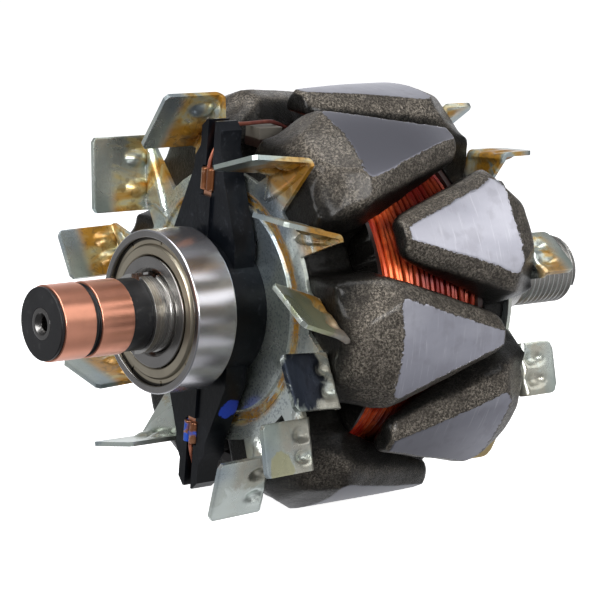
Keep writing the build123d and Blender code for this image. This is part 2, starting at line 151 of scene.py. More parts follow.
def newObject(name, data):  # an object that is in the scene
    made = bpy.data.objects.new(name, data)
    bpy.context.scene.collection.objects.link(made)
    return made


def passThrough(bm, kind, settings, other=None):
    # one modifier run on a bmesh, with a second bmesh as its partner where it needs one
    made = []
    for shape in [bm] + ([other] if other else []):
        mesh = bpy.data.meshes.new("work")
        shape.to_mesh(mesh)
        shape.free()
        made.append(newObject("work", mesh))
    modifier = made[0].modifiers.new("work", kind)
    for key, value in settings.items():
        setattr(modifier, key, value)
    if other:
        modifier.object = made[1]
    result = bmesh.new()
    evaluated = made[0].evaluated_get(bpy.context.evaluated_depsgraph_get())
    mesh = bpy.data.meshes.new_from_object(evaluated)
    result.from_mesh(mesh)
    bpy.data.meshes.remove(mesh)
    for piece in made:
        mesh = piece.data
        bpy.data.objects.remove(piece)
        bpy.data.meshes.remove(mesh)
    return result


def combine(bm, other, operation, solver="EXACT"):
    return passThrough(bm, "BOOLEAN", {"operation": operation, "solver": solver}, other)


def wireAlong(route, radius, sides=12):  # a round wire on a smooth curve through the points of a route
    curve = bpy.data.curves.new("wire", "CURVE")
    curve.dimensions = "3D"
    curve.bevel_depth = radius
    curve.bevel_resolution = sides // 4
    curve.resolution_u = 8
    curve.use_fill_caps = True
    spline = curve.splines.new("NURBS")
    spline.points.add(len(route) - 1)
    for point, place in zip(spline.points, route):
        point.co = (*place, 1)
    spline.use_endpoint_u = True
    spline.order_u = 3
    bent = newObject("wire", curve)
    bm = bmesh.new()
    mesh = bpy.data.meshes.new_from_object(bent.evaluated_get(bpy.context.evaluated_depsgraph_get()))
    bm.from_mesh(mesh)
    bpy.data.meshes.remove(mesh)
    bpy.data.objects.remove(bent)
    bpy.data.curves.remove(curve)
    bmesh.ops.remove_doubles(bm, verts=bm.verts[:], dist=0.001)
    faceOut(bm)
    return bm


def finishPiece(bm, name, material, hides, body="rotor", smoothUnder=35, weighted=True):
    bmesh.ops.scale(bm, vec=(mm, mm, mm), verts=bm.verts[:])
    mesh = bpy.data.meshes.new(name)
    bm.to_mesh(mesh)
    bm.free()
    mesh.shade_smooth()
    mesh.set_sharp_from_angle(angle=math.radians(smoothUnder))
    mesh.materials.append(material)
    piece = newObject(name, mesh)
    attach(piece, body)
    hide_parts(hides)
    if weighted:  # keeps the shine of a flat face flat beside a rounded edge
        piece.modifiers.new("weighted normals", "WEIGHTED_NORMAL").keep_sharp = True
    print("made", name, "with", len(mesh.polygons), "faces")


def coverNode(node, material):  # gives a CAD node that is shown as it is its material
    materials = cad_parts[node].data.materials
    materials.clear()
    materials.append(material)


# Shared material steps


def plug(socket, value):
    if isinstance(value, bpy.types.NodeSocket):
        socket.id_data.links.new(value, socket)
    else:
        socket.default_value = value


def feed(node, **inputs):  # links or sets several of a node's inputs by name
    for key, value in inputs.items():
        plug(node.inputs[key.replace("_", " ")], value)


def addNode(tree, kind, options=None, **inputs):
    node = tree.nodes.new("ShaderNode" + kind)
    for key, value in (options or {}).items():
        setattr(node, key, value)
    feed(node, **inputs)
    return node


def maths(operation, first, second=0.0):
    tree = (first if isinstance(first, bpy.types.NodeSocket) else second).id_data
    node = addNode(tree, "Math", {"operation": operation})
    plug(node.inputs[0], first)
    plug(node.inputs[1], second)
    return node.outputs[0]


def times(first, second):
    return maths("MULTIPLY", first, second)


def fade(value, low, high):  # 0 to 1 as the value goes from low to high
    smooth = {"interpolation_type": "SMOOTHSTEP"}
    return addNode(value.id_data, "MapRange", smooth, From_Min=low, From_Max=high, Value=value).outputs[0]


def tint(amount, first, second):  # a colour between two others
    node = addNode(amount.id_data, "Mix", {"data_type": "RGBA"}, Factor=amount)
    for socket, colour in ((node.inputs[6], first), (node.inputs[7], second)):
        plug(socket, colour if isinstance(colour, bpy.types.NodeSocket) else (*colour, 1))
    return node.outputs[2]


def level(amount, first, second):  # a number between two others
    node = addNode(amount.id_data, "Mix", {"data_type": "FLOAT"}, Factor=amount, A=first, B=second)
    return node.outputs[0]


def stretched(tree, scale=(1, 1, 1), place=(0, 0, 0)):  # object coordinates, scaled for each axis
    coords = addNode(tree, "TexCoord").outputs["Object"]
    return addNode(tree, "Mapping", {}, Vector=coords, Location=place, Scale=scale).outputs[0]


def grain(vector, scale, detail=3, rough=0.5, distortion=0.0):
    node = addNode(vector.id_data, "TexNoise", {}, Vector=vector, Scale=scale, Detail=detail)
    feed(node, Roughness=rough, Distortion=distortion)
    return node.outputs["Fac"]


def parted(vector):  # the x, y and z of a vector
    return addNode(vector.id_data, "SeparateXYZ", {}, Vector=vector).outputs


def fromAxis(tree):  # along the shaft and out from it, in metres
    along, across, up = parted(addNode(tree, "TexCoord").outputs["Object"])
    return along, maths("SQRT", maths("ADD", maths("POWER", across, 2), maths("POWER", up, 2)))


def distanceFrom(coords, place):  # how far a point is from a place that is given in millimetres
    node = addNode(coords.id_data, "VectorMath", {"operation": "DISTANCE"})
    plug(node.inputs[0], coords)
    plug(node.inputs[1], Vector(place) * mm)
    return node.outputs["Value"]


def bump(height, distance, under=None):  # relief, on top of coarser relief if there is any
    node = addNode(height.id_data, "Bump", {}, Height=height, Distance=distance)
    if under:
        feed(node, Normal=under)
    return node.outputs[0]


def newMaterial(name, **fixed):  # a principled shader, with what is the same all over set on its sockets
    material = bpy.data.materials.new(name)
    material.use_nodes = True
    shader = material.node_tree.nodes["Principled BSDF"]
    feed(shader, **fixed)
    return material, material.node_tree, shader


def turnedSteel(name, colour, roughness, lines=2600, depth=0.000004, metallic=1.0):
    # metal finished on a lathe: fine rings round the shaft, with soft clouds in its shine
    material, tree, shader = newMaterial(name, Metallic=metallic)
    rings = grain(stretched(tree, (1, 0.001, 0.001)), lines, 2, 0.6)
    clouds = grain(stretched(tree), 180, 4)
    dark = tuple(part * 0.88 for part in colour)
    feed(
        shader, Base_Color=tint(fade(clouds, 0.35, 0.7), colour, dark),
        Roughness=level(rings, roughness - 0.03, roughness + 0.03), Normal=bump(rings, depth),
    )
    return material


def moulding(name, colour, roughness, scale=700, depth=0.00002, specular=0.5, dust=(0.03, 0.03, 0.03)):
    # moulded plastic: faint orange peel, uneven gloss and a little dust
    material, tree, shader = newMaterial(name, Specular_IOR_Level=specular)
    peel = grain(stretched(tree), scale, 4)
    clouds = grain(stretched(tree), 120, 3)
    lighter = tuple(part * 1.7 + 0.004 for part in colour)
    base = tint(fade(clouds, 0.45, 0.8), colour, lighter)
    specks = times(fade(peel, 0.58, 0.70), fade(clouds, 0.40, 0.60))
    feed(
        shader, Base_Color=tint(specks, base, dust), Normal=bump(peel, depth),
        Roughness=level(clouds, roughness * 0.75, roughness * 1.3),
    )
    return material


def recolour(material, amount, colour):  # lays a colour over a material's own
    base = material.node_tree.nodes["Principled BSDF"].inputs["Base Color"]
    plug(base, tint(amount, base.links[0].from_socket, colour))


def paintedOver(material, spots, colour):
    # dabs of paint at places on a piece: (place in millimetres, radius in millimetres)
    tree = material.node_tree
    coords = stretched(tree)
    ragged = grain(coords, 420, 3)
    total = None
    for place, radius in spots:
        wander = maths("ADD", distanceFrom(coords, place), times(ragged, radius * mm))
        dab = maths("SUBTRACT", 1.0, fade(wander, radius * mm * 1.35, radius * mm * 1.5))
        total = dab if total is None else maths("MAXIMUM", total, dab)
    recolour(material, total, colour)
    metal = tree.nodes["Principled BSDF"].inputs["Metallic"]
    if metal.default_value > 0:
        plug(metal, level(total, metal.default_value, 0.0))
    return material


# The shaft, with its thread, and the moulded slip-ring end

shaft = {
    "radius": 8.5, "seatRadius": 9.0, "spigotRadius": 3.35, "undercut": 0.5, "undercutWidth": 1.3,
    "threadStart": 20.0, "threadRadius": 8.0, "threadPitch": 1.5, "threadDepth": 0.92, "chamfer": 1.2,
    "threadSteps": 60, "crest": 0.1, "relief": 0.1, "reliefFront": 1.6, "reliefWidth": 1.1, "edge": 0.15,
    "centreRadius": 1.5, "centreDepth": 8.0, "centreFlare": 0.9, "centreMouth": 1.0,
    "dimple": [(0, 2.4), (1.7, 0.9), (3.4, 0)], "slotWidth": 2.9, "slotFloor": 5.0, "slotRear": -67.5,
    "dullFrom": 9, "dullColour": (0.17, 0.165, 0.16),
}
steelBright = turnedSteel("turned steel", (0.62, 0.61, 0.59), 0.27)


def dullEnd(material):  # the centred end face at the slip rings has been left rough and dark
    place = shaftFront + shaft["dullFrom"]
    end = fade(fromAxis(material.node_tree)[0], (place + 2) * mm, place * mm)
    recolour(material, end, shaft["dullColour"])


dullEnd(steelBright)


def buildShaft():
    radius, start, pitch = shaft["radius"], shaft["threadStart"], shaft["threadPitch"]
    core = shaft["threadRadius"] - shaft["threadDepth"]
    bore, boreEnd = shaft["centreRadius"], shaftFront + shaft["centreDepth"]
    undercutFront, undercutRadius = bearingFront - shaft["undercutWidth"], radius - shaft["undercut"]
    reliefRadius = core - shaft["relief"]
    bm = bmesh.new()
    spinOutline(bm, [
        (boreEnd + shaft["centreFlare"], 0), (boreEnd, bore),
        (shaftFront + shaft["centreMouth"], bore), (shaftFront, bore + shaft["centreFlare"]),
        (shaftFront, shaft["spigotRadius"]), (collarRear, shaft["spigotRadius"]), (collarRear, radius),
        (undercutFront, radius), (undercutFront, undercutRadius), (bearingFront, undercutRadius),
        (bearingFront, radius), (guideRear, radius), (guideRear, shaft["seatRadius"]),
        (0, shaft["seatRadius"]), (0, radius), (start - shaft["reliefFront"], radius),
        (start - shaft["reliefWidth"], reliefRadius), (start, reliefRadius), (start, core),
        (threadEnd - shaft["chamfer"], core),
        (threadEnd, shaft["threadRadius"] - shaft["chamfer"] - 0.35),
        *((threadEnd - depth, reach) for depth, reach in shaft["dimple"]),
    ], closed=False)
    easeEdges(bm, shaft["edge"])
    slots = bmesh.new()
    half, high = shaft["slotWidth"] / 2, 10
    for angle in leadAngles.values():
        low = (collarRear - 1, -half, shaft["slotFloor"])
        addBlock(slots, low, (shaft["slotRear"], half, high), turned(angle))
    bm = combine(bm, slots, "DIFFERENCE")
    thread = bmesh.new()
    crest, top, foot = shaft["crest"], shaft["threadRadius"], core - 0.25
    ridge = [(crest, foot), (pitch / 2 - crest, top), (pitch / 2 + crest, top), (pitch - crest, foot)]
    face = thread.faces.new([thread.verts.new((start - 0.4 + along, 0, reach)) for along, reach in ridge])
    turns = (threadEnd - shaft["chamfer"] * 0.75 - start) / pitch
    steps = int(turns * shaft["threadSteps"])
    bmesh.ops.spin(
        thread, geom=[face], cent=(0, 0, 0), axis=(1, 0, 0), dvec=(pitch / shaft["threadSteps"], 0, 0),
        angle=math.tau * steps / shaft["threadSteps"], steps=steps, use_duplicate=False,
    )
    bmesh.ops.holes_fill(thread, edges=[e for e in thread.edges if e.is_boundary], sides=0)
    faceOut(thread)
    for vert in thread.verts:  # the thread runs out at both its ends
        along, height = vert.co.x, math.hypot(vert.co.y, vert.co.z)
        ends = wave(start - 0.3, start + 1.2, along) * (1 - wave(threadEnd - 2.0, threadEnd - 0.3, along))
        if height > core:
            reach = core - 0.2 + (height - core + 0.2) * (0.35 + 0.65 * ends)
            vert.co.y *= reach / height
            vert.co.z *= reach / height
    addMesh(bm, thread)
    finishPiece(bm, "turned_shaft", steelBright, "shaft", smoothUnder=28)


buildShaft()

collar = {
    "radius": 7.7, "ringSeat": 7.2, "groove": 0.35, "boreRadius": 3.35, "edge": 0.25, "slotFront": 0.6,
    "slotHalf": 1.3, "slotFloor": 5.1, "slotTop": 6.9,
}
blackMoulding = moulding("black phenolic moulding", (0.008, 0.008, 0.009), 0.34, 700, 0.00002, 0.35)


def buildCollar():
    outerFront, outerRear = cadSpan("slip_ring_outer")
    innerFront, innerRear = cadSpan("slip_ring_inner")
    radius, seat, groove, bore = (collar[key] for key in ("radius", "ringSeat", "groove", "boreRadius"))
    bm = bmesh.new()
    spinOutline(bm, [
        (shaftFront, bore), (shaftFront, radius), (outerFront, radius), (outerFront, seat),
        (outerRear, seat), (outerRear, radius), (outerRear + groove, radius),
        (outerRear + groove, radius - groove), (innerFront - groove, radius - groove),
        (innerFront - groove, radius), (innerFront, radius), (innerFront, seat), (innerRear, seat),
        (innerRear, radius), (collarRear, radius), (collarRear, bore),
    ])
    easeEdges(bm, collar["edge"], 3)
    slots = bmesh.new()
    for angle in leadAngles.values():
        low = (innerRear + collar["slotFront"], -collar["slotHalf"], collar["slotFloor"])
        addBlock(slots, low, (collarRear + 1, collar["slotHalf"], collar["slotTop"]), turned(angle))
    bm = combine(bm, slots, "DIFFERENCE")
    finishPiece(bm, "slip_ring_moulding", blackMoulding, "slip_ring_body")


buildCollar()


def buildTube(name, node, material, settings):  # a plain ring as long as its CAD node
    bm = bmesh.new()
    spinTube(bm, *cadSpan(node), settings["bore"], settings["radius"])
    easeEdges(bm, *settings["edge"])
    finishPiece(bm, name, material, node)


slipRing = {"radius": 8.0, "bore": 7.2, "edge": (0.22, 3)}
ringCopper = turnedSteel("slip ring copper", (0.82, 0.365, 0.245), 0.29, 3200, 0.000006)

for ringName in ("slip_ring_outer", "slip_ring_inner"):
    buildTube("copper_" + ringName, ringName, ringCopper, slipRing)

# The bearing: rings, balls, cage and two shields with crimped rims

bearing = {
    "radius": 17.5, "bore": 8.5, "innerLand": 11.9, "outerLand": 14.4, "pitch": 13.0, "raceway": 2.43,
    "grooveHalf": 1.4, "seat": 15.7, "frontSeat": 15.8, "seatDepth": 1.5, "corner": 0.36,
    "innerCorner": 0.25, "boreCorner": 1.0, "shieldStep": 14.2, "shieldWall": 0.4, "shieldGap": 0.15,
    "crimps": 9, "crimpHalf": 0.22, "crimpFloor": 14.72, "crimpTop": 15.9, "crimpAngle": 11,
    "rimShadeFrom": 15.5,
}
bearingSteel = turnedSteel("ground bearing steel", (0.33, 0.32, 0.31), 0.26, 1900, 0.000003)


def colourOutside(material, radius, colour):  # another colour from a radius outwards
    outside = fade(fromAxis(material.node_tree)[1], radius * mm - 0.0004, radius * mm - 0.0001)
    recolour(material, outside, colour)


# painted light and shade: the outside of the outer ring is painted much paler than the dark-painted faces
# of the same ground steel
colourOutside(bearingSteel, bearing["radius"], (0.76, 0.75, 0.79))
shieldTin = turnedSteel("bearing shield", (0.50, 0.45, 0.35), 0.34, 1500, 0.000004)
# painted shade: the groove at the shield's crimped rim is painted nearly black from this radius outwards
colourOutside(shieldTin, bearing["rimShadeFrom"], (0.04, 0.036, 0.03))


def raceway(radiusSign, count=10):  # the ball groove's arc, from the front to the rear
    middle = (bearingFront + bearingRear) / 2
    edge = math.acos(bearing["grooveHalf"] / bearing["raceway"])
    points = []
    for step in range(count + 1):
        turn = -edge + 2 * edge * step / count
        points.append((
            middle + math.sin(turn) * bearing["raceway"],
            bearing["pitch"] + radiusSign * math.cos(turn) * bearing["raceway"],
        ))
    return points


def buildBearing():
    front, rear, seat, bore = bearingFront, bearingRear, bearing["seat"], bearing["bore"]
    outerLand, innerLand = bearing["outerLand"], bearing["innerLand"]
    seatFront, seatRear = front + bearing["seatDepth"], rear - bearing["seatDepth"]
    outer = bmesh.new()
    spinOutline(outer, [
        (front, bearing["frontSeat"]), (front, bearing["radius"]), (rear, bearing["radius"]), (rear, seat),
        (seatRear, seat), (seatRear, outerLand), *reversed(raceway(1)), (seatFront, outerLand),
        (seatFront, bearing["frontSeat"]),
    ], 180)
    easeEdges(outer, bearing["corner"], 4, 60)
    name = "bearing_outer_race"
    finishPiece(outer, name, bearingSteel, "bearing_outer_ring", "bearing_outer")

    inner = bmesh.new()
    corner = bearing["boreCorner"]
    spinOutline(inner, [
        (front, bore + corner), (front, innerLand), *raceway(-1), (rear, innerLand), (rear, bore + corner),
        (rear - corner, bore), (front + corner, bore),
    ], 180)
    easeEdges(inner, bearing["innerCorner"], 3, 40)
    finishPiece(inner, "bearing_inner_race", bearingSteel, "bearing_inner_ring")

    for side, face, inward in (("front", front, 1), ("rear", rear, -1)):
        def at(depth, radius):
            return face + inward * depth, radius

        wall, step, lip = bearing["shieldWall"], bearing["shieldStep"], innerLand + bearing["shieldGap"]
        shield = bmesh.new()
        spinOutline(shield, [
            at(0.62, lip), at(0.40, innerLand + 0.45), at(0.40, 13.2), at(0.46, step - 0.25),
            at(0.62, step), at(1.10, step + 0.28), at(1.10, seat - 0.30), at(0.95, seat), at(1.35, seat),
            at(1.5, seat - 0.3), at(1.5, step), at(1.0, step - wall), at(0.8, step - wall), at(0.80, lip),
        ], 180)
        notches = bmesh.new()
        low, high = sorted((at(0.2, 0)[0], at(1.32, 0)[0]))
        half, floor = bearing["crimpHalf"], bearing["crimpFloor"]
        for index in range(bearing["crimps"]):  # the punch leaves a short slit where it spreads the rim
            place = turned(360 / bearing["crimps"] * index + bearing["crimpAngle"])
            addBlock(notches, (low, -half, floor), (high, half, bearing["crimpTop"]), place)
        shield = combine(shield, notches, "DIFFERENCE")
        name, node = "shield_" + side, "bearing_shield_" + side
        finishPiece(shield, name, shieldTin, node, "bearing_outer", 28)

    ballSteel = turnedSteel("ball steel", (0.6, 0.6, 0.6), 0.16)
    cageSteel = turnedSteel("cage steel", (0.45, 0.42, 0.38), 0.35)
    for node, material in (("bearing_balls", ballSteel), ("bearing_cage", cageSteel)):
        coverNode(node, material)


buildBearing()

# Claw poles: forged, then ground to size on their outside, and dipped in varnish

claw = {
    "count": 6, "firstAngle": 37, "rootHalf": 12.6, "widestHalf": 14.3, "tipHalf": 4.8, "tipRound": 1.4,
    "rootLength": 10.3, "rearRootLength": 9.1, "groundLength": 29.1, "length": 40.4, "poleRadius": 46.0,
    "rootAngle": 14.5, "tipAngle": 2.1, "slope": 42, "disc": 13.0, "discRadius": 29.0, "bore": 9.0,
    "blankHalf": 15, "blankLow": 32, "blankHigh": 47.6, "inside": (18, 0, 42), "sole": (33.3, 41.0),
    "limit": [
        (-1, 15), (-1, 38.1), (0, 39.3), (4.2, 44.4), (10.3, 46.9), (12.3, 47.4), (42.4, 47.4), (42.4, 15),
    ],
    "heelRadius": 20.0, "heelTop": 36.5, "heelExtra": 0.6, "heelTaper": 0.12, "heelWaist": 34,
    "heelInside": (5, 0, 30),
    "underRoot": 36.3, "underTip": 41.3, "rootCorner": 4.6, "rootDrop": 3.6, "cornerCut": 0.6,
    "cornerFace": (0.55, 0.63), "forgedRise": 0.369, "tipFall": 0.9, "forgedFrom": 12, "boreSkin": 0.45,
    "lumps": [(0.18, 9), (0.12, 3), (0.07, 1.2)],  # height and size
    "voxel": 0.62, "softening": 12, "wornFrom": -9, "wornTo": -0.3, "wearing": 4,
}


def addClaws(bm):
    # one claw that points up and along +X, from x = 0 at the disc's face, and then set round the shaft
    ground, end, half, disc = claw["rootLength"], claw["length"], claw["blankHalf"], claw["disc"]
    inside, heelInside, slant = claw["inside"], claw["heelInside"], math.radians(claw["slope"])
    blank = bmesh.new()
    addBlock(blank, (0, -half, claw["blankLow"]), (end, half, claw["blankHigh"]))
    heel = bmesh.new()
    addBlock(heel, (0, -half, claw["heelRadius"]), (disc, half, claw["heelTop"]))
    for side in (-1, 1):
        wide = side * claw["widestHalf"]
        rootFlank = (claw["rootHalf"] - claw["widestHalf"], side * ground, 0)
        run = end - claw["tipRound"] - ground
        cutAway(blank, (ground, wide, 0), rootFlank, inside)
        cutAway(blank, (ground, wide, 0), (claw["widestHalf"] - claw["tipHalf"], side * run, 0), inside)
        cutAway(blank, (end - claw["tipRound"], side * claw["tipHalf"], 0), (1, side, 0), inside)
        root = Vector((ground, *onRing(claw["poleRadius"], -side * claw["rootAngle"])))
        tip = Vector((ground + claw["groundLength"], *onRing(claw["poleRadius"], -side * claw["tipAngle"])))
        slope = Vector((0, side * math.cos(slant), -math.sin(slant)))
        cutAway(blank, root, (tip - root).cross(slope), inside)
        cut, (flat, rise) = claw["cornerCut"], claw["cornerFace"]  # takes off the ground face's corner
        cutAway(blank, root + Vector((cut, -side * cut, 0)), (-flat, side * flat, rise), inside)
        cutAway(heel, (ground, wide, 0), rootFlank, heelInside)
        shoulder = side * (claw["rootHalf"] + claw["heelExtra"])
        cutAway(heel, (0, shoulder, claw["heelWaist"]), (0, 1, -side * claw["heelTaper"]), heelInside)
    soleRoot, soleTip = claw["sole"]
    cutAway(blank, (disc, 0, soleRoot), (soleTip - soleRoot, 0, disc - end), inside)
    turnedLimit = bmesh.new()
    spinOutline(turnedLimit, claw["limit"])
    blank = combine(blank, turnedLimit, "INTERSECT", "MANIFOLD")
    for part in (blank, heel):
        faceOut(part)
        for index in range(claw["count"]):
            placed = part.copy()
            placed.transform(turned(claw["firstAngle"] + 360 / claw["count"] * index))
            addMesh(bm, placed)
        part.free()


def rough(place, size, seed):  # smooth random height at a place, for lumps of that size
    return noise.noise(Vector(place) / size + Vector((seed * 17.3, seed * 5.1, seed * 9.7)))


def buildPole(name, node, mirrored, seed, material):
    bm = bmesh.new()
    spinTube(bm, 0, claw["disc"], claw["bore"], claw["discRadius"])
    addClaws(bm)
    bm = passThrough(bm, "REMESH", {"mode": "VOXEL", "voxel_size": claw["voxel"]})
    soften(bm, bm.verts[:], claw["softening"])
    bm.normal_update()
    over = bm.verts.layers.float.new("over")  # how far the forged face would stand over the ground one
    facing = bm.verts.layers.float.new("facing")
    groundStart = claw["rearRootLength"] if mirrored else claw["rootLength"]
    groundEnd, ground, disc = claw["rootLength"] + claw["groundLength"], claw["poleRadius"], claw["disc"]
    moves = []
    for vert in bm.verts:
        lumps = sum(height * rough(vert.co, size, seed) for height, size in claw["lumps"])
        moves.append(vert.co + vert.normal * lumps)
    for vert, place in zip(bm.verts, moves):
        along, radius = place.x, math.hypot(place.y, place.z)
        if radius > claw["forgedFrom"]:
            forged = ground + claw["forgedRise"] * (along - groundStart) + 0.35 * rough(place, 11, seed + 3)
            forged += 0.1 * rough(place, 1.5, seed)
            forged -= claw["rootDrop"] * max(1 - along / claw["rootCorner"], 0) ** 2
            reach = min(radius, forged, ground + claw["tipFall"] * (groundEnd - along))
            vert[over] = reach - ground
            reach = min(reach, ground)
            if along > disc:
                share = (along - disc) / (claw["length"] - disc)
                under = claw["underRoot"] + share * (claw["underTip"] - claw["underRoot"])
                reach = max(reach, under + 0.3 * rough(place, 4, seed))
            place = Vector((along, place.y * reach / radius, place.z * reach / radius))
        else:
            vert[over] = -20
        place.x = min(max(place.x, 0), claw["length"])
        if radius < claw["bore"] + claw["boreSkin"]:  # the bore stays round
            place.y *= claw["bore"] / radius
            place.z *= claw["bore"] / radius
        vert.co = place
    worn = [vert for vert in bm.verts if claw["wornFrom"] < vert[over] < claw["wornTo"]]
    soften(bm, worn, claw["wearing"])  # takes the crease off where the limits meet
    if mirrored:
        bm.transform(turned(180 / claw["count"]) @ Matrix.Diagonal((-1, 1, 1, 1)))
    bm.transform(Matrix.Translation((rearFace if mirrored else frontFace, 0, 0)))
    faceOut(bm)
    bm.normal_update()
    for vert in bm.verts:
        vert[facing] = vert.normal.dot(Vector((0, vert.co.y, vert.co.z)).normalized())
    finishPiece(bm, name, material, node, smoothUnder=60, weighted=False)


forging = {  # colours of the scale, far from the ground faces in painted shade and near them in painted light, and of the bare steel
    "scaleDark": ((0.002, 0.0018, 0.0015), (0.042, 0.036, 0.030)),
    "scalePale": ((0.022, 0.020, 0.017), (0.280, 0.247, 0.204)),
    "bare": ((0.56, 0.56, 0.62), (0.42, 0.42, 0.48)), "smudge": (0.33, 0.32, 0.36),
    # painted shade: the last two colours darken the scale and the bare steel towards the bottom
    "marks": (0.66, 0.66, 0.71), "scaleInShade": (0.006, 0.0055, 0.005), "bareInShade": (0.08, 0.08, 0.10),
    # painted shade on the ground faces of two front claws
    "darkenedFaces": [(42, 27, (0.27, 0.27, 0.31)), (158, 50, (0.06, 0.06, 0.075))],  # claw's angle, size, colour
    "darkenedFacesAlong": -44,
}


def forgedSteel():
    # varnished forging scale, and bare steel where the grinder has been
    material, tree, shader = newMaterial(
        "forged and ground steel", Coat_Roughness=0.2, Specular_IOR_Level=0.2, Roughness=0.35
    )
    height = addNode(tree, "Attribute", {"attribute_name": "over"}).outputs["Fac"]
    facing = addNode(tree, "Attribute", {"attribute_name": "facing"}).outputs["Fac"]
    coords = stretched(tree)
    fine = grain(coords, 1100, 3, 0.6)
    coarse = grain(coords, 260, 4)
    grit = grain(coords, 2100, 4, 0.75, 0.6)
    ground = fade(maths("ADD", height, times(maths("SUBTRACT", fine, 0.5), 0.8)), 0.02, 0.12)
    # painted light and shade: the scale is paler near the ground faces where it faces outwards, and darker
    # where it turns into the gaps between the claws
    high = times(fade(height, -8.5, -2.0), fade(facing, 0.25, 0.68))
    dark = tint(high, *forging["scaleDark"])
    scale = tint(fade(grit, 0.42, 0.66), dark, tint(high, *forging["scalePale"]))
    scale = tint(times(fade(coarse, 0.45, 0.68), 0.6), scale, dark)
    clouds = grain(stretched(tree, (0.4, 1, 1)), 70, 5)
    marks = grain(stretched(tree, (1, 0.06, 0.06)), 1800, 3, 0.7)
    bare = tint(fade(clouds, 0.35, 0.65), *forging["bare"])
    bare = tint(times(fade(coarse, 0.50, 0.66), 0.35), bare, forging["smudge"])
    bare = tint(fade(marks, 0.55, 0.8), bare, forging["marks"])
    for angle, size, shade in forging["darkenedFaces"]:  # painted shade: front claws whose ground faces are painted darker
        away = distanceFrom(coords, (forging["darkenedFacesAlong"], *onRing(claw["poleRadius"], angle)))
        bare = tint(fade(away, size * mm, size * mm * 0.3), bare, shade)
    low = fade(parted(coords)[2], -0.028, -0.040)  # painted shade: darker towards the bottom
    scale = tint(times(low, 0.75), scale, forging["scaleInShade"])
    bare = tint(times(low, 0.7), bare, forging["bareInShade"])
    relief = bump(times(grit, maths("SUBTRACT", 1.0, ground)), 0.0003)
    feed(
        shader, Base_Color=tint(ground, scale, bare), Metallic=level(ground, 0.55, 1.0),
        Coat_Weight=level(ground, 0.22, 0.0), Normal=bump(marks, 0.000004, relief),
    )
    return material


poleSteel = forgedSteel()
buildPole("forged_front_pole", "front_claw_pole", False, 1, poleSteel)
buildPole("forged_rear_pole", "rear_claw_pole", True, 2, poleSteel)

core = {"radius": 24.0, "bore": 9.0, "edge": (0.4, 2)}
coreSteel = turnedSteel("core steel", (0.30, 0.29, 0.27), 0.4)
buildTube("forged_core", "pole_core", coreSteel, core)

# The field coil: a bobbin, and turns of enamelled wire that wander a little

coil = {
    "radius": 35.2, "wire": 0.62, "turns": 19, "floor": 33.9, "spool": 25.5, "steps": 150, "sides": 7,
    "wander": 0.42, "bends": 2.2, "sag": 0.9, "clear": 0.02, "flange": 35.8, "wall": 1.4,
    "bobbinBore": 24.1, "lugWidth": 5.0, "lugNeck": 3.5, "lugLength": 6.0, "lugReach": 38.7,
    "lugLow": 34.4, "lugHigh": 35.6, "edge": 0.2, "darkFrom": -44, "paleFrom": 36.6,
}


def buildCoil():
    front, rear = cadSpan("field_winding")
    pitch = (rear - front) / coil["turns"]
    bm = bmesh.new()
    spinTube(bm, front, rear, coil["spool"], coil["floor"])
    for turn in range(coil["turns"]):
        strand = bmesh.new()
        middle = Matrix.Translation((front + (turn + 0.5) * pitch, 0, coil["radius"] - coil["wire"]))
        upright = Matrix.Rotation(math.pi / 2, 4, "X")
        ring = bmesh.ops.create_circle(
            strand, segments=coil["sides"], radius=coil["wire"], matrix=middle @ upright
        )
        bmesh.ops.spin(
            strand, geom=ring["verts"] + strand.edges[:], cent=(0, 0, 0), axis=(1, 0, 0), dvec=(0, 0, 0),
            angle=math.tau, steps=coil["steps"], use_merge=True, use_duplicate=False,
        )
        bmesh.ops.remove_doubles(strand, verts=strand.verts[:], dist=0.001)
        for vert in strand.verts:
            angle = Vector((0, vert.co.y, vert.co.z)).normalized() * coil["bends"]
            slide = noise.noise(angle + Vector((turn * 3.1, 0, 0))) * coil["wander"] * 2
            lift = noise.noise(angle * 1.3 + Vector((turn * 7.7, 5, 0)))
            vert.co.x = min(max(vert.co.x + slide, front + coil["clear"]), rear - coil["clear"])
            scale = 1 + (min(lift, 0) * coil["sag"]) / coil["radius"]
            vert.co.y *= scale
            vert.co.z *= scale
        faceOut(strand)
        addMesh(bm, strand)
    return bm


def enamelledWire(name, bright, dark, varnish, metallic=0.3, coat=0.15, darkerFrom=None):
    material, tree, shader = newMaterial(
        name, Coat_Weight=coat, Coat_Roughness=0.2, Metallic=metallic, Specular_IOR_Level=0.3
    )
    coords = stretched(tree)
    clouds = grain(coords, 130, 4)
    flecks = grain(coords, 900, 3)
    colour = tint(fade(clouds, 0.40, 0.62), bright, dark)
    colour = tint(times(fade(flecks, 0.6, 0.75), 0.5), colour, varnish)
    strands = grain(stretched(tree, (1, 0.04, 0.04)), 900, 1)
    colour = tint(times(fade(strands, 0.5, 0.62), 0.55), colour, dark)
    if darkerFrom:  # darker towards the rear, where the varnish colour is mixed in
        thick = fade(fromAxis(tree)[0], darkerFrom * mm, (darkerFrom + 8) * mm)
        colour = tint(times(thick, 0.85), colour, varnish)
    feed(shader, Base_Color=colour, Roughness=level(clouds, 0.32, 0.44), Normal=bump(flecks, 0.00003))
    return material


windingCopper = enamelledWire(
    "winding wire", (1.0, 0.18, 0.045), (0.40, 0.022, 0.01), (0.11, 0.006, 0.005),
    coat=0.05, darkerFrom=coil["darkFrom"],
)
finishPiece(
    buildCoil(), "wound_coil", windingCopper, "field_winding",
    smoothUnder=50, weighted=False,
)


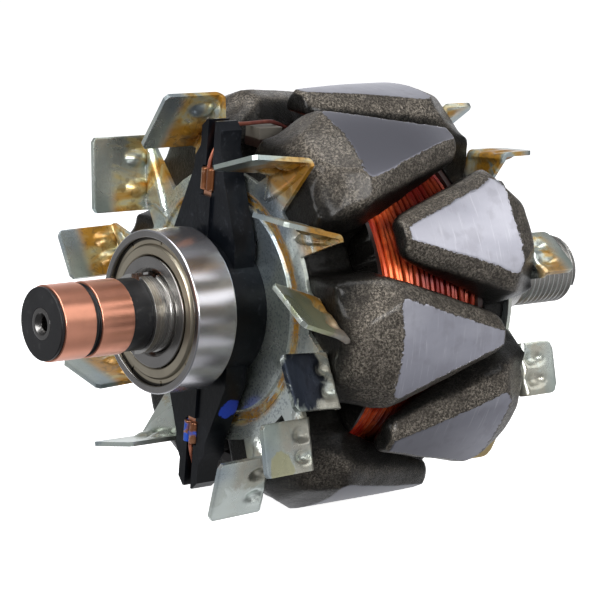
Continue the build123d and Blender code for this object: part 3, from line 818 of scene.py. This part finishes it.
def buildBobbin():
    front, rear = cadSpan("field_winding")
    wall, bore, flange, spool = coil["wall"], coil["bobbinBore"], coil["flange"], coil["spool"]
    bm = bmesh.new()
    spinOutline(bm, [
        (front - wall, bore), (front - wall, flange), (front, flange), (front, spool),
        (rear, spool), (rear, flange), (rear + wall, flange), (rear + wall, bore),
    ])
    lugs = bmesh.new()
    lugRear, low = front - wall - coil["lugNeck"], coil["lugLow"]
    half = coil["lugWidth"] / 2
    lugFront = lugRear - coil["lugLength"]
    for place in map(turned, leadAngles.values()):
        addBlock(lugs, (lugRear - 0.2, -half, low), (front - wall / 2, half, coil["lugHigh"]), place)
        addBlock(lugs, (lugFront, -half, low), (lugRear, half, coil["lugReach"]), place)
    bm = combine(bm, lugs, "UNION")
    easeEdges(bm, coil["edge"])
    return bm


bobbinPlastic = moulding("bobbin plastic", (0.016, 0.006, 0.005), 0.4, dust=(0.03, 0.02, 0.015))
# the bobbin is paler from this radius outwards
colourOutside(bobbinPlastic, coil["paleFrom"], (0.10, 0.092, 0.078))
finishPiece(buildBobbin(), "moulded_bobbin", bobbinPlastic, "bobbin")

# Fans: pressed plates of zinc-plated steel. Each blade has two darts above its bend and a vee before it

frontFan = {  # each blade: the angles of its outer and inner ends, its inner end's radius, and its lean
    "back": frontFace, "toward": -1, "bore": 10.0, "hub": 29.5, "thickness": 1.0, "height": 13.9,
    "radius": 45.7, "bend": 0.8, "rootSpread": (3.0, 5.0), "grooveRadius": 24.6, "grooveHalf": 1.4,
    "groove": 0.5, "grooveSlant": 0.5, "corner": 1.0,
    "blades": [
        (-2.0, -18.0, 35.9, 0.0), (-40.5, -58.5, 34.6, 2.0), (-74.0, -86.5, 38.5, 4.0),
        (-112.0, -127.0, 35.0, 3.0), (-138.5, -154.5, 35.5, 0.0), (40.0, 24.5, 34.8, 6.0),
        (61.0, 50.0, 36.3, 14.0), (87.0, 74.7, 36.6, 22.0), (110.0, 97.0, 38.5, 14.0),
        (133.0, 122.5, 37.6, 10.0), (163.0, 150.5, 35.6, 3.0),
    ],
}
rearFan = {
    "back": rearFace, "toward": 1, "bore": 10.0, "hub": 30.0, "thickness": 1.0, "height": 8.6,
    "radius": 41.8, "bend": 0.8, "rootSpread": (3.0, 5.0), "corner": 2.0,
    "blades": [(angle, angle - 14.5, 35.2, 0.0) for angle in (10, 41, 81, 121, 161, 201, 241, 281, 321)],
}

pressing = {  # what the press leaves in a blade: two darts above its bend, and a vee that points to the hub
    "cell": 0.7, "fineCell": 0.55, "bendCells": 7, "darts": (0.3, 0.7), "dartHalf": 1.35, "dartHeight": 2.3,
    "dartAbove": 1.7, "dartDepth": 1.1, "dartEdge": 1.6, "veeMargin": 0.06, "veeSlope": 0.62,
    "veeDepth": 0.8, "veeFrom": (-14, -11), "veeTo": (-1.2, 0.6), "rootInside": 2.5, "edge": 0.09,
}


def buildBlade(fan, outerAngle, innerAngle, innerRadius, lean):
    # a strip that runs from the hub along its spoke, round the bend and up the blade
    thick, bend = fan["thickness"], fan["bend"]
    outer, inner = Vector(onRing(fan["radius"], outerAngle)), Vector(onRing(innerRadius, innerAngle))
    across = (outer - inner).normalized()
    outward = Vector((across.y, -across.x))
    if outward.dot(outer + inner) < 0:
        outward.negate()
    width = (outer - inner).length
    tilt, bendRadius, corner = math.radians(lean), bend + thick, fan["corner"]
    bendAngle = math.pi / 2 - tilt
    full = fan["height"] + thick
    cornerBack = full * math.tan(tilt)  # from the tip's line inwards to the bend's corner
    reach = bendRadius * math.tan(bendAngle / 2)
    rootOuter, rootInner = (
        Vector(onRing(fan["hub"] - pressing["rootInside"], angle))
        for angle in (outerAngle + fan["rootSpread"][0], innerAngle - fan["rootSpread"][1])
    )
    seamOuter, seamInner = (edge - outward * (cornerBack + reach) for edge in (outer, inner))
    spokeRun = ((seamOuter + seamInner) / 2 - (rootOuter + rootInner) / 2).length
    bendRun = bendRadius * bendAngle
    bladeRun = full / math.cos(tilt) - reach
    spokeCount, bendCount = int(spokeRun / pressing["cell"]), pressing["bendCells"]
    bladeCount, wide = int(bladeRun / pressing["cell"]), int(width / pressing["fineCell"])
    bm = bmesh.new()
    rows = spokeCount + bendCount + bladeCount
    for vert in bmesh.ops.create_grid(bm, x_segments=wide, y_segments=rows, size=0.5)["verts"]:
        u = vert.co.x + 0.5
        left = (0.5 - vert.co.y) * rows / bladeCount * bladeRun  # what is left of the way to the tip
        if left < corner:
            inset = corner - math.sqrt(corner ** 2 - (corner - left) ** 2)
            u = inset / width + u * (1 - 2 * inset / width)
        row = round((vert.co.y + 0.5) * rows)
        seam = seamInner.lerp(seamOuter, u)
        if row <= spokeCount:  # on the spoke, the outer skin lies on the plate's back
            t, turn = row / spokeCount, 0.0
            place, height, gone = rootInner.lerp(rootOuter, u).lerp(seam, t), 0.0, (t - 1) * spokeRun
        elif row <= spokeCount + bendCount:
            turn = bendAngle * (row - spokeCount) / bendCount
            place = seam + outward * math.sin(turn) * bendRadius
            height = (1 - math.cos(turn)) * bendRadius
            gone = (row - spokeCount) / bendCount * bendRun
        else:
            t, turn = (row - spokeCount - bendCount) / bladeCount, bendAngle
            height = reach * math.cos(tilt) + (full - reach * math.cos(tilt)) * t
            place = seam + outward * (reach + height * math.tan(tilt))
            gone = bendRun + bladeRun * t
        push = 0.0
        for middle in pressing["darts"]:
            side = (u - middle) * width / pressing["dartHalf"]
            rise = (gone - bendRun - pressing["dartAbove"]) / pressing["dartHeight"]
            push += pressing["dartDepth"] * math.exp(-(side * side + rise * rise) ** pressing["dartEdge"])
        margin = pressing["veeMargin"]
        veeEdge = min(u - margin, 1 - margin - u) * width + gone * pressing["veeSlope"]
        begun, ended = (wave(*pressing[key], gone) for key in ("veeFrom", "veeTo"))
        push += pressing["veeDepth"] * (wave(0.0, 1.0, veeEdge) * begun * (1 - ended))
        place = place - outward * math.sin(turn) * push
        vert.co = Vector((height + math.cos(turn) * push, place.x, place.y))
    faceOut(bm)
    tip = max(bm.faces, key=lambda face: face.calc_center_median().x)
    if tip.normal.dot(Vector((0, *outward))) < 0:
        bmesh.ops.reverse_faces(bm, faces=bm.faces[:])
    bm = passThrough(bm, "SOLIDIFY", {"thickness": thick, "offset": -1, "use_even_offset": False})
    faceOut(bm)
    easeEdges(bm, pressing["edge"], 2, 75)
    return bm


def buildFan(name, node, fan, material):
    plate = bmesh.new()
    thick, bore, hub = fan["thickness"], fan["bore"], fan["hub"]
    groove = []
    if "groove" in fan:
        low, high = fan["grooveRadius"] - fan["grooveHalf"], fan["grooveRadius"] + fan["grooveHalf"]
        floor, slant = thick - fan["groove"], fan["grooveSlant"]
        groove = [(thick, low), (floor, low + slant), (floor, high - slant), (thick, high)]
    spinOutline(plate, [(0, bore), (thick, bore), *groove, (thick, hub), (0, hub)])
    easeEdges(plate, 0.1)
    for blade in fan["blades"]:
        plate = combine(plate, buildBlade(fan, *blade), "UNION", "MANIFOLD")
    plate.transform(Matrix.Translation((fan["back"], 0, 0)) @ Matrix.Diagonal((fan["toward"], 1, 1, 1)))
    faceOut(plate)
    finishPiece(plate, name, material, node, smoothUnder=32)


stainsAndReflection = [  # where a blade has another colour, the first being a painted reflection: place and size in millimetres, colour, strength
    # painted reflection: a dark navy mirror patch on a front blade
    ((-71.0, -42.5, -8.5), 8.8, (0.010, 0.016, 0.034), 0.97),
    ((-70.0, -42.0, 6.0), 8.0, (0.40, 0.43, 0.24), 0.8),
    ((-70.0, -9.0, -43.0), 10.0, (0.85, 0.92, 0.88), 0.7),
    ((-68.0, 22.0, -33.0), 12.0, (0.56, 0.62, 0.58), 0.9),
    ((-64.0, -17.0, -21.0), 11.0, (0.80, 0.86, 0.84), 0.6),
    ((-72.5, -32.5, -30.0), 4.0, (0.55, 0.52, 0.26), 0.7),
    ((-1.0, -19.0, -37.0), 10.0, (0.50, 0.34, 0.09), 0.8),
]
zincLook = {
    "base": ((0.66, 0.71, 0.66), (0.42, 0.48, 0.44)), "bluish": (0.30, 0.37, 0.45),
    "specks": (0.13, 0.16, 0.17), "amber": ((0.50, 0.43, 0.20), (0.42, 0.205, 0.022)),
    "streaks": (0.16, 0.10, 0.03), "hubward": (0.13, 0.17, 0.21),
}


def zincPlate():
    # passivated zinc with varnish that ran into the bends and the groove
    material, tree, shader = newMaterial("zinc plate", Coat_Roughness=0.2)
    coords = stretched(tree)
    along, radius = fromAxis(tree)
    _, across, up = parted(coords)
    clouds = grain(coords, 60, 5)
    patches = grain(stretched(tree, place=(0.3, 0.1, 0.7)), 38, 3)
    fine = grain(coords, 2400, 3, 0.7)
    grit = grain(coords, 1900, 3, 0.6)
    colour = tint(fade(clouds, 0.35, 0.65), *zincLook["base"])
    colour = tint(times(fade(patches, 0.50, 0.66), 0.75), colour, zincLook["bluish"])
    colour = tint(times(fade(fine, 0.55, 0.75), 0.5), colour, zincLook["specks"])
    torn = grain(coords, 160, 3, 0.6, 1.5)
    stainedAndReflecting = None
    for place, size, shade, strength in stainsAndReflection:
        edge = maths("ADD", distanceFrom(coords, place), times(torn, size * mm * 0.9))
        inside = times(fade(edge, size * mm * 1.45, size * mm * 1.25), strength)
        stainedAndReflecting = inside if stainedAndReflecting is None else maths("MAXIMUM", stainedAndReflecting, inside)
        colour = tint(inside, colour, shade)

    # where the varnish is: in the bends, most on the upper left, and in the groove
    runs = grain(stretched(tree, (0.5, 1, 1), (0.02, 0.05, 0.0)), 85, 4, 0.6, 0.8)
    streaks = grain(coords, 420, 4, 0.6, 1.2)
    upAndLeft = maths("ADD", times(across, 0.9), up)
    wetter = maths("ADD", runs, times(fade(across, -0.012, 0.012), 0.035))
    nearBend = times(fade(radius, 0.0285, 0.0340), fade(radius, 0.0485, 0.0455))
    nearBend = times(nearBend, level(fade(upAndLeft, -0.046, -0.024), 0.25, 1.0))
    nearBend = times(nearBend, fade(wetter, 0.40, 0.49))
    nearBend = times(nearBend, maths("SUBTRACT", 1.0, stainedAndReflecting))
    angle = maths("ARCTAN2", up, across)
    roundAxis = addNode(tree, "CombineXYZ", {}, X=radius, Y=times(angle, 0.004)).outputs[0]
    arcs = grain(roundAxis, 1100, 3, 0.6)  # it ran round along the groove
    nearGroove = times(fade(radius, 0.0232, 0.0240), fade(radius, 0.0272, 0.0258))
    for mask in (fade(arcs, 0.35, 0.48), fade(runs, 0.34, 0.46), fade(along, -0.03, -0.05)):
        nearGroove = times(nearGroove, mask)
    lowOnBlade = times(fade(along, -0.0738, -0.0705), fade(along, 0.002, -0.002))
    stain = times(maths("MAXIMUM", nearBend, nearGroove), lowOnBlade)
    amber = tint(fade(runs, 0.42, 0.54), *zincLook["amber"])
    amber = tint(times(fade(streaks, 0.5, 0.62), 0.6), amber, zincLook["streaks"])
    colour = tint(stain, colour, amber)
    hubward = times(fade(radius, 0.0305, 0.0285), fade(grit, 0.50, 0.62))
    colour = tint(times(hubward, 0.5), colour, zincLook["hubward"])
    dents = bump(grain(coords, 110, 3), 0.00035)
    feed(
        shader, Base_Color=colour, Metallic=level(stain, 0.86, 0.45), Roughness=level(clouds, 0.20, 0.36),
        Coat_Weight=times(stain, 0.5), Normal=bump(fine, 0.000012, dents),
    )
    return material


zinc = zincPlate()
buildFan("pressed_front_fan", "front_fan", frontFan, zinc)
buildFan("pressed_rear_fan", "rear_fan", rearFan, zinc)

spacer = {"radius": 11.5, "bore": 9.0, "edge": (0.4, 3)}
spacerSteel = turnedSteel("spacer steel", (0.45, 0.43, 0.40), 0.33)
buildTube("turned_spacer", "drive_end_spacer", spacerSteel, spacer)

# The lead guide: a moulded hub and two arms, each with a channel for its lead

guide = {
    "bossRadius": 11.6, "hubRadius": 15.4, "bossLength": 1.0, "hubStep": 2.0, "bore": 8.5, "armBack": 1.0,
    "shoulderReach": 32.0, "shoulderHalf": 5.2, "rootHalf": 11.0, "tipReach": 40.5, "tipHalf": 3.4,
    "shoulderEase": 2.6, "tipEase": 1.7, "ribWidth": 3.8, "ribHeight": 0.6, "ribReach": 24.4,
    "clear": 0.15, "channel": 1.15, "channelEnd": 42, "notchFrom": 37.6, "edge": 0.3,
    "paint": [((-66.4, -6.8, -22.2), 2.7)], "paintColour": (0.02, 0.06, 0.50),
}
leads = {"barWidth": 2.6, "barThick": 1.5, "barReach": 27.9, "wire": 0.45}
crimp = {
    "from": 25.2, "to": 30.6, "width": 4.0, "depth": 3.6, "backFrom": 0.9, "backTo": 1.8, "edge": 0.7,
    "roll": 1.02, "rollDepth": 1.03, "rollAside": 0.96, "rollEdge": 0.3, "rollShorter": 0.6,
    "paint": [((-69.2, 4.4, -29.4), 1.9), ((-69.0, 4.6, -26.6), 1.7), ((-69.2, 2.6, -28.0), 1.5)],
    "paintColour": (0.03, 0.11, 0.60),
}
leadRear = cadSpan("lead_bar_a")[1]
leadMiddle = leadRear - leads["barThick"] / 2


def buildGuide():
    boss, bore, bossRadius, hubRadius = bearingRear, guide["bore"], guide["bossRadius"], guide["hubRadius"]
    hub = boss + guide["bossLength"]
    armFront, armRear = hub + guide["hubStep"], guideRear - guide["armBack"]
    bm = bmesh.new()
    spinOutline(bm, [
        (boss, bore), (boss, bossRadius), (hub, bossRadius), (hub, hubRadius), (guideRear, hubRadius),
        (guideRear, bore),
    ], 96)
    shoulder, tipHalf, tipReach = guide["shoulderReach"], guide["tipHalf"], guide["tipReach"]
    side = [
        (guide["rootHalf"], 9), (guide["rootHalf"], hubRadius),
        (guide["shoulderHalf"], shoulder - guide["shoulderEase"]), (guide["shoulderHalf"], shoulder),
        (tipHalf, shoulder + guide["shoulderEase"]), (tipHalf, tipReach - guide["tipEase"]),
        (tipHalf / 2, tipReach),
    ]
    outline = side + [(-across, reach) for across, reach in reversed(side)]
    for angle in leadAngles.values():
        arm = bmesh.new()
        face = arm.faces.new([arm.verts.new((armFront, across, reach)) for across, reach in outline])
        made = bmesh.ops.extrude_face_region(arm, geom=[face])["geom"]
        moved = [part for part in made if isinstance(part, bmesh.types.BMVert)]
        bmesh.ops.translate(arm, vec=(armRear - armFront, 0, 0), verts=moved)
        faceOut(arm)
        arm.transform(turned(angle))
        bm = combine(bm, arm, "UNION", "MANIFOLD")
    halfBar, halfCrimp = leads["barWidth"] / 2 + guide["clear"], crimp["width"] / 2 + guide["clear"]
    halfRib, wire, end = guide["ribWidth"] / 2, guide["channel"], guide["channelEnd"]
    cuts = [
        ((boss - 1, -halfBar, 5), (leadRear, halfBar, leads["barReach"])),
        ((armFront - 1, -halfCrimp, crimp["from"]), (leadMiddle + 1.8, halfCrimp, crimp["to"])),
        ((armFront - 1, -wire, crimp["to"] - 1), (leadMiddle + 2.6, wire, end)),
        ((armFront - 1, -wire, guide["notchFrom"]), (armRear + 1, wire, end)),
    ]
    ribFront = armFront - guide["ribHeight"]
    rib = ((ribFront, -halfRib, hubRadius - 0.5), (leadMiddle, halfRib, guide["ribReach"]))
    for angle in leadAngles.values():  # the moulding closes over the lead bar by a rib
        for corners, operation in [(cut, "DIFFERENCE") for cut in cuts] + [(rib, "UNION")]:
            block = bmesh.new()
            addBlock(block, *corners, turned(angle))
            bm = combine(bm, block, operation, "MANIFOLD")
    easeEdges(bm, guide["edge"], 3, 40)
    return bm


guidePlastic = moulding(
    "guide moulding", (0.003, 0.004, 0.006), 0.30, 900, 0.00005, 0.25, (0.018, 0.020, 0.025)
)
paintedOver(guidePlastic, guide["paint"], guide["paintColour"])
finishPiece(
    buildGuide(), "moulded_lead_guide", guidePlastic, "lead_guide", smoothUnder=40
)

leadCopper = turnedSteel("lead copper", (0.75, 0.38, 0.24), 0.32)
for node in ("lead_bar_a", "lead_bar_b"):
    coverNode(node, leadCopper)


def buildCrimp(angle):
    # a folded strip: a back, and two rolled sides that meet over the lead
    low, high, half = crimp["from"], crimp["to"], crimp["width"] / 2
    front = leadMiddle - crimp["depth"] / 2
    bm = bmesh.new()
    addBlock(bm, (front + crimp["backFrom"], -half, low), (leadMiddle + crimp["backTo"], half, high))
    easeEdges(bm, crimp["edge"], 4)
    for way in (-1, 1):
        roll = bmesh.new()
        place = (front + crimp["rollDepth"], way * crimp["rollAside"], (low + high) / 2)
        bmesh.ops.create_cone(
            roll, cap_ends=True, segments=24, radius1=crimp["roll"], radius2=crimp["roll"],
            depth=high - low - crimp["rollShorter"], matrix=Matrix.Translation(place),
        )
        easeEdges(roll, crimp["rollEdge"], 3, 60)
        bm = combine(bm, roll, "UNION")
    bm.transform(turned(angle))
    return bm


crimpCopper = enamelledWire(
    "crimp copper", (0.62, 0.27, 0.13), (0.22, 0.08, 0.03), (0.95, 0.70, 0.50), 0.9, 0.4
)
markedCopper = enamelledWire(
    "marked crimp copper", (0.75, 0.38, 0.22), (0.35, 0.14, 0.07), (0.85, 0.62, 0.45), 0.9, 0.4
)
paintedOver(markedCopper, crimp["paint"], crimp["paintColour"])
leadRed = enamelledWire(
    "coil lead enamel", (0.66, 0.24, 0.14), (0.20, 0.05, 0.03), (0.05, 0.01, 0.01), darkerFrom=-69
)

# the coil's leads, from the crimps to the coil: along, across and up
turnWire = cadSpan("field_winding")[0] - 4.9
leadRoute = [
    *((leadMiddle + along, across, up) for along, across, up in (
        (-0.9, 0, 27.9), (-0.9, 0.1, 31.6), (0.9, -0.3, 35.6), (2.1, -0.6, 38.4), (3.2, -0.4, 39.7),
        (7.5, 0.5, 39.2),
    )),
    *((turnWire + along, across, up) for along, across, up in (
        (-2.0, -0.3, 39.7), (0, 0, 39.2), (3.4, 0, 37.8), (7.0, 0, 36.0),
    )),
]

for key, angle in leadAngles.items():
    material = crimpCopper if key == "a" else markedCopper
    finishPiece(buildCrimp(angle), "folded_crimp_" + key, material, "terminal_" + key)
    wire = wireAlong(leadRoute, leads["wire"])
    wire.transform(turned(angle))
    name, node = "coil_lead_wire_" + key, "coil_lead_" + key
    finishPiece(wire, name, leadRed, node, weighted=False)

# The stage: a pale floor, soft lights and the photograph's camera

stage = {
    "floorDrop": 1.0, "floorSize": 60.0, "floorShade": 0.93, "lens": 155.9, "sensor": 36,
    "target": (-35, 0, 0), "cameraPlace": (-395.9, -444.0, 79.8), "cameraBack": (-0.6173, -0.7741, 0.1409),
    "roomBase": 0.13, "roomTint": (0.96, 0.97, 1.0), "roomDiffuse": 0.6,
    "glows": [  # soft bright walls of the room: where, the fade's two cosines, and power
        ((0.50, 0.75, -0.45), 0.50, 0.95, 0.70), ((0.62, -0.72, -0.30), 0.80, 1.0, 0.50),
        ((0, 0, 1), 0.3, 1.0, 0.12), ((-0.62, 0.77, -0.14), 0.60, 1.0, 0.28),
        ((0.62, -0.08, -0.78), 0.85, 1.0, 0.35), ((0.60, 0.72, 0.32), 0.80, 1.0, 0.45),
    ],
    "lights": [  # name, place in millimetres, size, power
        ("key", (520, -560, 430), (600, 600), 1.6), ("top", (-120, -60, 760), (700, 500), 4.3),
        ("left", (-700, -120, 330), (400, 400), 4.0), ("front", (-250, -780, 200), (300, 300), 4.2),
    ],
}


def buildStage():
    floorHeight = cadBounds[0][2] / mm - stage["floorDrop"]
    bm = bmesh.new()
    place = Matrix.Translation((0, 0, floorHeight * mm))
    bmesh.ops.create_grid(bm, x_segments=1, y_segments=1, size=stage["floorSize"] / 2, matrix=place)
    mesh = bpy.data.meshes.new("floor")
    bm.to_mesh(mesh)
    bm.free()
    floor = newObject("floor", mesh)
    shade = stage["floorShade"]
    material = newMaterial(
        "pale floor", Roughness=0.9, Base_Color=(shade, shade, shade, 1), Emission_Color=(1, 1, 1, 1),
        Emission_Strength=shade,
    )[0]
    mesh.materials.append(material)
    floor.visible_glossy = False
    floor.visible_diffuse = False

    world = bpy.data.worlds.new("studio")
    bpy.context.scene.world = world
    world.use_nodes = True
    tree = world.node_tree
    background = tree.nodes["Background"]
    rays = addNode(tree, "LightPath").outputs
    direction = addNode(tree, "TexCoord").outputs["Generated"]
    total = stage["roomBase"]
    for towards, low, high, power in stage["glows"]:
        dot = addNode(tree, "VectorMath", {"operation": "DOT_PRODUCT"})
        plug(dot.inputs[0], direction)
        plug(dot.inputs[1], Vector(towards).normalized())
        glow = times(fade(dot.outputs["Value"], low, high), power)
        total = maths("ADD", glow, total)
    total = times(total, level(rays["Is Diffuse Ray"], 1.0, stage["roomDiffuse"]))
    room = tint(total, (0, 0, 0), stage["roomTint"])
    room.node.clamp_factor = False
    feed(background, Color=tint(rays["Is Camera Ray"], room, (1, 1, 1)), Strength=1.0)

    target = Vector(stage["target"]) * mm
    for name, place, size, power in stage["lights"]:
        data = bpy.data.lights.new(name, "AREA")
        data.shape = "RECTANGLE"
        data.size, data.size_y = size[0] * mm, size[1] * mm
        data.energy = power
        light = newObject(name, data)
        light.location = Vector(place) * mm
        light.rotation_euler = (light.location - target).to_track_quat("Z", "Y").to_euler()

    camera = newObject("camera", bpy.data.cameras.new("camera"))
    camera.location = Vector(stage["cameraPlace"]) * mm
    camera.rotation_euler = Vector(stage["cameraBack"]).to_track_quat("Z", "Y").to_euler()
    camera.data.lens = stage["lens"]
    camera.data.sensor_width = stage["sensor"]
    camera.data.clip_end = 20
    bpy.context.scene.camera = camera
    bpy.context.scene.view_settings.view_transform = "Standard"


buildStage()
